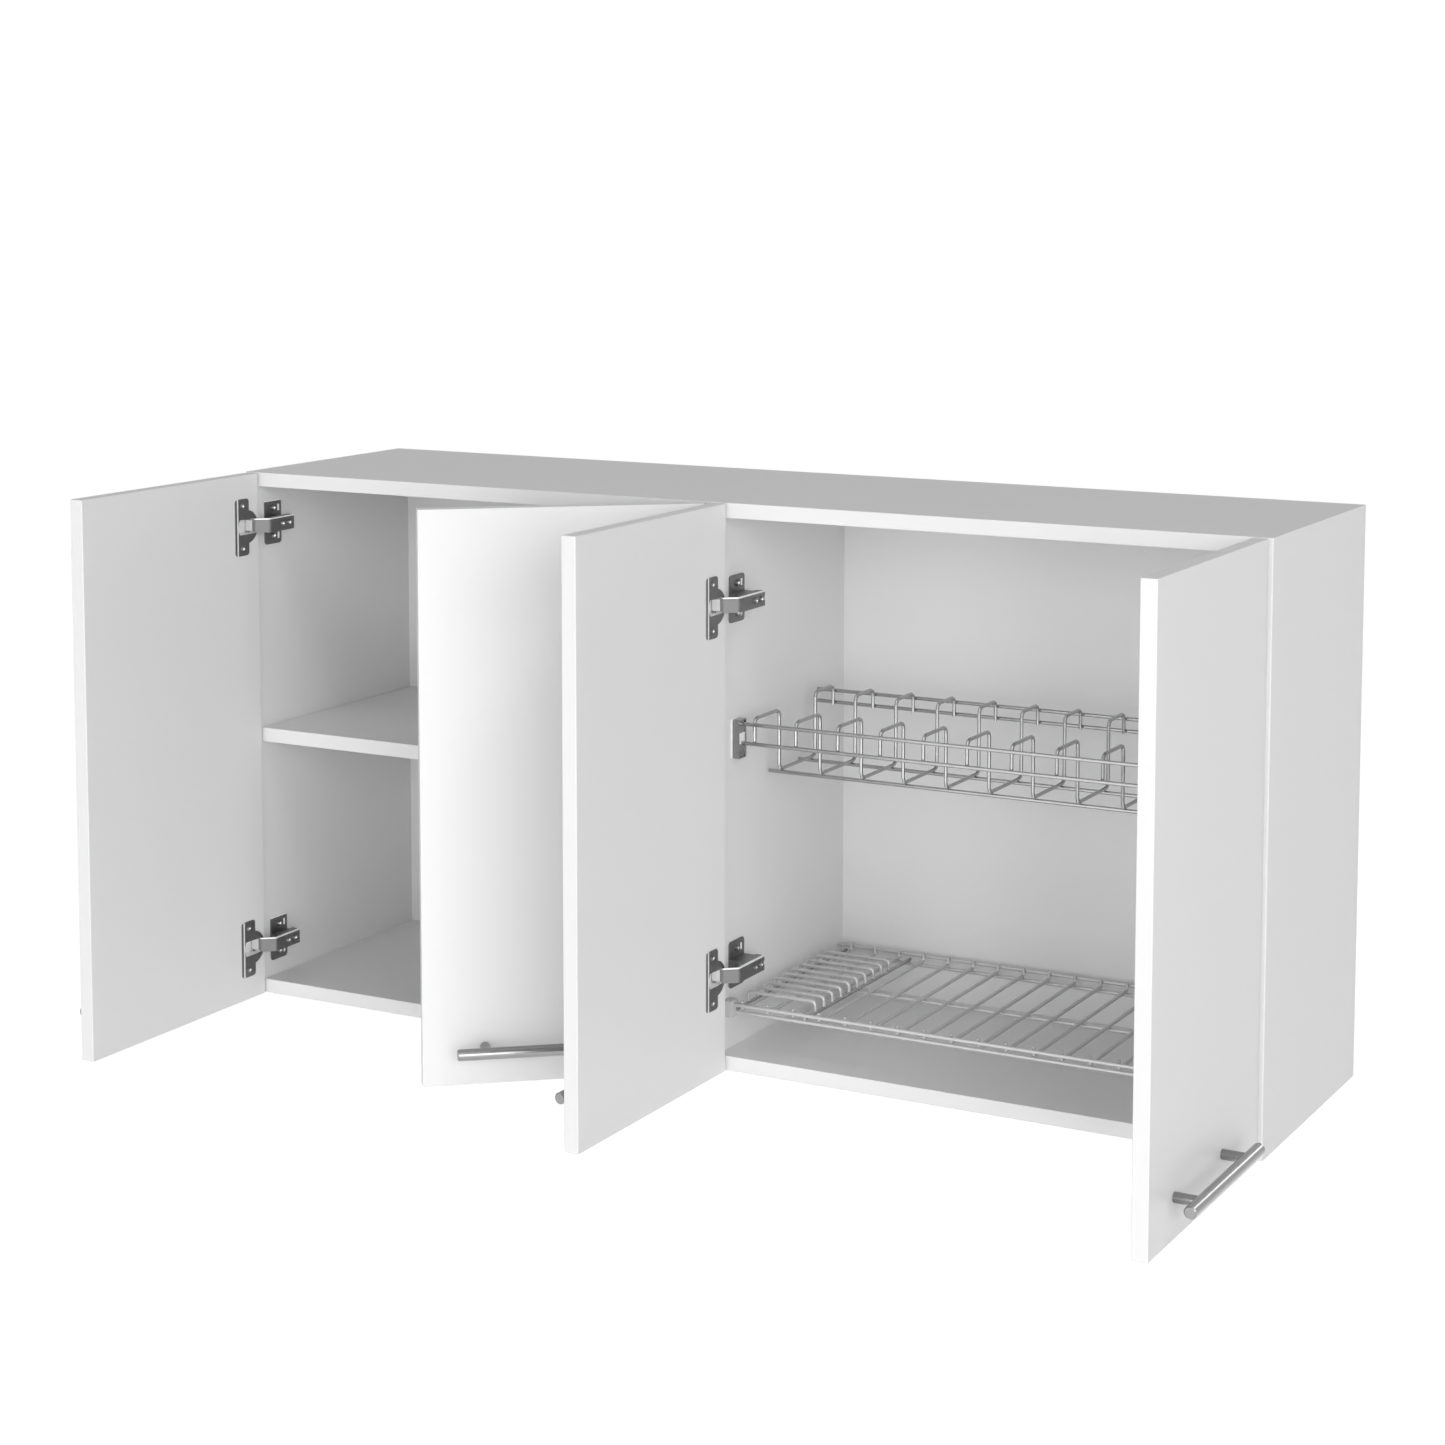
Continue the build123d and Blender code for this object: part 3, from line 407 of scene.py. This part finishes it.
def dress_hinges(number):
    """Materials of a door's hinges: dark plating with painted highlights along the upper edges and the
    flange, painted light on the inner link and in the cup's pocket, and painted shade on the leg
    """
    door = f"door_{number}"
    along, inward = door_axes(number)
    pin = middle_of(f"{door}_hinge_pins")
    away = ACROSS if number in LEFT_HUNG_DOORS else -ACROSS
    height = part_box(f"{door}_hinge_arms")[1][2] - ARM_EDGE
    levels = (-height, height)
    leg = under(BACK, pin.y + LEG_REACH)
    rim_highlights = [near(UP, level + ARM_EDGE, RIM_HIGHLIGHT_HALF_WIDTH) for level in levels]
    # Painted highlights along the arm's upper edges, dark plating on its face, painted shade on the leg
    # and painted light on the link
    arm_areas = [
        *[(rim, HIGHLIGHT_LEVEL, PAINTED_METALLIC) for rim in rim_highlights],
        (under(away, pin.dot(away) + ARM_FACE), DARK_LEVEL, BARE),
        # Painted shade: the leg gets a darker level than the arm's plating
        (leg, LEG_PAINTED_SHADE, PAINTED_METALLIC),
        *[(both(leg, rim), HIGHLIGHT_LEVEL, PAINTED_METALLIC) for rim in rim_highlights],
        # Painted light: the link inside the shaded pocket is made pale
        (under(away, pin.dot(away) + LINK_REACH), LINK_PAINTED_LIGHT, PAINTED_METALLIC),
    ]
    # A painted highlight along the flange, and painted light in the cup's pocket
    cup_areas = [
        (near(along, pin.dot(along) + FLANGE_HIGHLIGHT_MIDDLE, FLANGE_HIGHLIGHT_HALF_WIDTH), HIGHLIGHT_LEVEL, PAINTED_METALLIC),
        # Painted light: the inside of the cup's pocket, which lies in shade, is made pale
        (under(inward, pin.dot(inward) + POCKET_MOUTH), POCKET_PAINTED_LIGHT, PAINTED_METALLIC),
    ]
    slot_place = middle_of(f"{door}_mounting_plates").y + SLOT_OFFSET
    # Painted highlights round the slots
    slots = [
        both(near(BACK, slot_place, SLOT_HALF_WIDTH), near(UP, level + step, SLOT_HALF_LENGTH))
        for level in levels for step in (-SLOT_HEIGHT, SLOT_HEIGHT)
    ]
    # Painted highlights along the wings' upper edges and round the plate's slots
    wing_rim_highlights = [near(UP, level + WING_EDGE, RIM_HIGHLIGHT_HALF_WIDTH) for level in levels]
    highlight_areas = (wing_rim_highlights if number in END_DOORS else []) + slots
    plate_areas = [(area, HIGHLIGHT_LEVEL, PAINTED_METALLIC) for area in highlight_areas]
    for piece, name, areas in (
        ("hinge_arms", "arm_steel", arm_areas),
        ("hinge_cups", "cup_steel", cup_areas),
        ("mounting_plates", "plate_steel", plate_areas),
    ):
        dress(f"{door}_{piece}", pressed_steel(f"{name}_{number}", DARK_LEVEL, HINGE_ROUGHNESS, areas))


def dress_rack_ends():
    """Materials of the plate rack's brackets and of the inserts in them"""
    ends = [corner[0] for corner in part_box("plate_rack_brackets")]
    # A painted highlight along each bracket's edge at the boards
    edges = [(near(ACROSS, end, BRACKET_HIGHLIGHT_WIDTH), HIGHLIGHT_LEVEL, PAINTED_METALLIC) for end in ends]
    middle = [(near(UP, INSERT_MIDDLE, INSERT_HALF_HEIGHT), INSERT_LEVEL, PLASTIC)]
    for node, name, areas in (
        ("plate_rack_brackets", "bracket_steel", edges),
        ("plate_rack_inserts", "insert_steel", middle),
    ):
        dress(node, pressed_steel(name, BRACKET_LEVEL, BRACKET_ROUGHNESS, areas))


def axis_place(start, direction):
    """Transform to an axis that starts at a point and runs along a direction"""
    return Matrix.Translation(start) @ direction.to_track_quat("Z", "Y").to_matrix().to_4x4()


def turn(form, place, profile, sides=ROUND_SIDES):
    """Add a turned wall that is closed at its start, and return its open end;
    the profile has pairs of distance along the axis and radius"""
    angles = [math.tau * step / sides for step in range(sides)]
    circle = [(math.cos(angle), math.sin(angle)) for angle in angles]
    rings = []
    for distance, radius in profile:
        points = [Vector((radius * x, radius * y, distance)) for x, y in circle]
        rings.append([form.verts.new(place @ point) for point in points])
    for low, high in zip(rings, rings[1:]):
        for step in range(sides):
            form.faces.new((low[step - 1], low[step], high[step], high[step - 1]))
    form.faces.new(reversed(rings[0]))
    return rings[-1]


def outline_edges(form, corners):
    """Edges round a closed outline"""
    pairs = zip(corners, corners[1:] + corners[:1])
    return [form.edges.get(pair) or form.edges.new(pair) for pair in pairs]


def add_screw(form, seat, direction, size):
    """Screw with a rounded head and a cross recess, its seat at a point"""
    head, height, shank, length = size
    place = axis_place(seat, direction)
    top = head * HEAD_TOP_SHARE
    profile = [
        (-length, shank * TIP_SHARE), (-length + shank, shank), (0.0, shank), (0.0, head),
        (height * HEAD_RIM_SHARE, head), (height, top),
    ]
    rim = turn(form, place, profile, SCREW_SIDES)
    reach, half = head * CROSS_REACH_SHARE, head * CROSS_WIDTH_SHARE
    arm = [(reach, -half), (reach, half), (half, half)]
    turns = [Matrix.Rotation(math.pi / 2 * quarter, 3, "Z") for quarter in range(4)]
    outline = [quarter @ Vector((x, y, 0.0)) for quarter in turns for x, y in arm]
    mouth, floor = [
        [form.verts.new(place @ (point + Vector((0.0, 0.0, level)))) for point in outline]
        for level in (height, height * (1.0 - CROSS_DEPTH_SHARE))
    ]
    # The recess takes the second material, whose pale colour is a painted highlight
    for step in range(len(mouth)):
        wall = form.faces.new((mouth[step - 1], mouth[step], floor[step], floor[step - 1]))
        wall.material_index = 1
    form.faces.new(floor).material_index = 1
    top_edges = outline_edges(form, rim) + outline_edges(form, mouth)
    bmesh.ops.triangle_fill(form, edges=top_edges, use_beauty=True, normal=direction)


def loose_pieces(node):
    """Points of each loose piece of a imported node, in the order of its mesh"""
    form = bmesh.new()
    form.from_mesh(frame["nodes"][node].data)
    bmesh.ops.remove_doubles(form, verts=form.verts, dist=WELD_DISTANCE)
    found = set()
    pieces = []
    for start in form.verts:
        if start in found:
            continue
        found.add(start)
        piece = [start]
        for vert in piece:  # the list grows while it is walked
            for edge in vert.link_edges:
                other = edge.other_vert(vert)
                if other not in found:
                    found.add(other)
                    piece.append(other)
        pieces.append([vert.co.copy() for vert in piece])
    form.free()
    return pieces


def into_bay(place):
    """Direction from the nearest upright board into the bay that a place lies in"""
    at_end_board = abs(place.x) > END_BOARD_X
    return -ACROSS if (place.x > 0.0) == at_end_board else ACROSS


def build_screws(name, node, body, size, direction=None):
    """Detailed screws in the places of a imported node's plain ones"""
    form = bmesh.new()
    for points in loose_pieces(node):
        middle = sum(points, Vector()) / len(points)
        outward = direction or into_bay(middle)
        top = max(point.dot(outward) for point in points)
        seat = middle + outward * (top - size.height - middle.dot(outward))
        add_screw(form, seat, outward, size)
    # The recesses get the pale steel of a painted highlight
    add_piece(name, form, body, "plated_steel", node, inner="recess_highlight_steel")


def add_piece(name, form, body, slot, *nodes, inner=None):
    """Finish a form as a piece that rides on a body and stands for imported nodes"""
    mesh = bpy.data.meshes.new(name)
    form.to_mesh(mesh)
    form.free()
    for face in mesh.polygons:
        face.use_smooth = True
    mesh.set_sharp_from_angle(angle=math.radians(SHARP_ANGLE_DEG))
    mesh.materials.append(MATERIALS[slot])
    if inner:
        mesh.materials.append(MATERIALS[inner])
    piece = bpy.data.objects.new(name, mesh)
    bpy.context.scene.collection.objects.link(piece)
    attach(piece, body)
    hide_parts(*nodes)


def build_handle(number):
    """Chamfered bar on two posts"""
    door = f"door_{number}"
    along, inward = door_axes(number)
    middle = middle_of(f"{door}_handle_bar") - along * HANDLE_SHIFT
    bar = bmesh.new()
    end = BAR_LENGTH / 2
    rim = BAR_RADIUS - BAR_CHAMFER
    profile = [(-end, rim), (BAR_CHAMFER - end, BAR_RADIUS), (end - BAR_CHAMFER, BAR_RADIUS), (end, rim)]
    bar.faces.new(turn(bar, axis_place(middle + inward * BAR_SETBACK, along), profile))
    add_piece(f"{door}_bar", bar, door, "handle_steel", f"{door}_handle_bar")
    posts = bmesh.new()
    neck = POST_RADIUS - POST_CHAMFER
    profile = [(0.0, neck), (POST_CHAMFER, POST_RADIUS), (POST_LENGTH, POST_RADIUS)]
    for side in (-1, 1):
        place = axis_place(middle + inward * POST_FOOT + along * side * POST_PITCH / 2, -inward)
        posts.faces.new(turn(posts, place, profile))
    add_piece(f"{door}_posts", posts, door, "handle_steel", f"{door}_handle_posts")


def build_cup_screws(number):
    """Screws of a door's hinge cups, which face into the cabinet when it is shut"""
    door = f"door_{number}"
    inward = door_axes(number)[1]
    build_screws(f"{door}_cross_screws", f"{door}_cup_screws", door, CUP_SCREW, inward)


def sees_background(nodes, links):
    """1 where a camera, mirror or glass ray arrives, otherwise 0"""
    path = nodes.new("ShaderNodeLightPath")
    first = nodes.new("ShaderNodeMath")
    first.operation = "MAXIMUM"
    links.new(path.outputs["Is Camera Ray"], first.inputs[0])
    links.new(path.outputs["Is Glossy Ray"], first.inputs[1])
    second = nodes.new("ShaderNodeMath")
    second.operation = "MAXIMUM"
    links.new(first.outputs[0], second.inputs[0])
    links.new(path.outputs["Is Transmission Ray"], second.inputs[1])
    return second.outputs[0]


def build_world():
    """Soft surroundings that look white where they are seen"""
    world = bpy.data.worlds.new("studio")
    bpy.context.scene.world = world
    world.use_nodes = True
    nodes, links = world.node_tree.nodes, world.node_tree.links
    soft = nodes["Background"]
    soft.inputs["Color"].default_value = colour(1.0)
    soft.inputs["Strength"].default_value = AMBIENT
    seen = nodes.new("ShaderNodeBackground")
    seen.inputs["Color"].default_value = colour(1.0)
    seen.inputs["Strength"].default_value = SEEN_BACKGROUND
    mix = nodes.new("ShaderNodeMixShader")
    links.new(sees_background(nodes, links), mix.inputs[0])
    links.new(soft.outputs[0], mix.inputs[1])
    links.new(seen.outputs[0], mix.inputs[2])
    links.new(mix.outputs[0], nodes["World Output"].inputs["Surface"])


def build_floor():
    """Wide pale floor, at the height of a room's floor below a hanging cabinet"""
    bpy.ops.mesh.primitive_plane_add(size=FLOOR_SIZE, location=(0.0, 0.0, FLOOR_LEVEL))
    floor = bpy.context.object
    floor.name = "floor"
    material, nodes, links, shader = new_material("floor")
    shader.inputs["Base Color"].default_value = colour(FLOOR_COLOUR)
    shader.inputs["Roughness"].default_value = FLOOR_ROUGHNESS
    white = nodes.new("ShaderNodeEmission")
    white.inputs["Strength"].default_value = FLOOR_GLOW
    add = nodes.new("ShaderNodeAddShader")
    mix = nodes.new("ShaderNodeMixShader")
    links.new(shader.outputs[0], add.inputs[0])
    links.new(white.outputs[0], add.inputs[1])
    links.new(sees_background(nodes, links), mix.inputs[0])
    links.new(shader.outputs[0], mix.inputs[1])
    links.new(add.outputs[0], mix.inputs[2])
    links.new(mix.outputs[0], nodes["Material Output"].inputs["Surface"])
    floor.data.materials.append(material)


def build_softbox(name, bearing_deg, height_deg, size, power):
    """Large square lamp that looks at the cabinet; its bearing is seen from the front, to the right"""
    light = bpy.data.lights.new(name, "AREA")
    light.shape = "SQUARE"
    light.size = size
    light.energy = power
    lamp = bpy.data.objects.new(name, light)
    bpy.context.scene.collection.objects.link(lamp)
    bearing, height = math.radians(bearing_deg), math.radians(height_deg)
    level, rise = SOFTBOX_DISTANCE * math.cos(height), SOFTBOX_DISTANCE * math.sin(height)
    lamp.location = (level * math.sin(bearing), -level * math.cos(bearing), rise)
    lamp.rotation_euler = (-lamp.location).to_track_quat("-Z", "Y").to_euler()


def build_camera():
    """Camera of the photograph"""
    data = bpy.data.cameras.new("camera")
    data.sensor_width = CAMERA_SENSOR_MM
    data.lens = CAMERA_LENS_MM
    data.shift_x, data.shift_y = CAMERA_SHIFT
    camera = bpy.data.objects.new("camera", data)
    bpy.context.scene.collection.objects.link(camera)
    camera.location = CAMERA_PLACE
    camera.rotation_euler = (math.radians(90.0 - CAMERA_PITCH_DEG), 0.0, math.radians(CAMERA_YAW_DEG))
    bpy.context.scene.camera = camera


dress_nodes()
dress_rack_ends()
for door_number in DOOR_OPEN_DEG:
    dress_hinges(door_number)
    build_handle(door_number)
    build_cup_screws(door_number)
build_screws("plate_cross_screws", "plate_screws", "carcass", PLATE_SCREW)
build_screws("arm_cross_screws", "arm_screws", "carcass", ARM_SCREW)
build_world()
build_floor()
for softbox, setting in SOFTBOXES.items():
    build_softbox(softbox, *setting)
build_camera()
bpy.context.scene.view_settings.view_transform = "Standard"
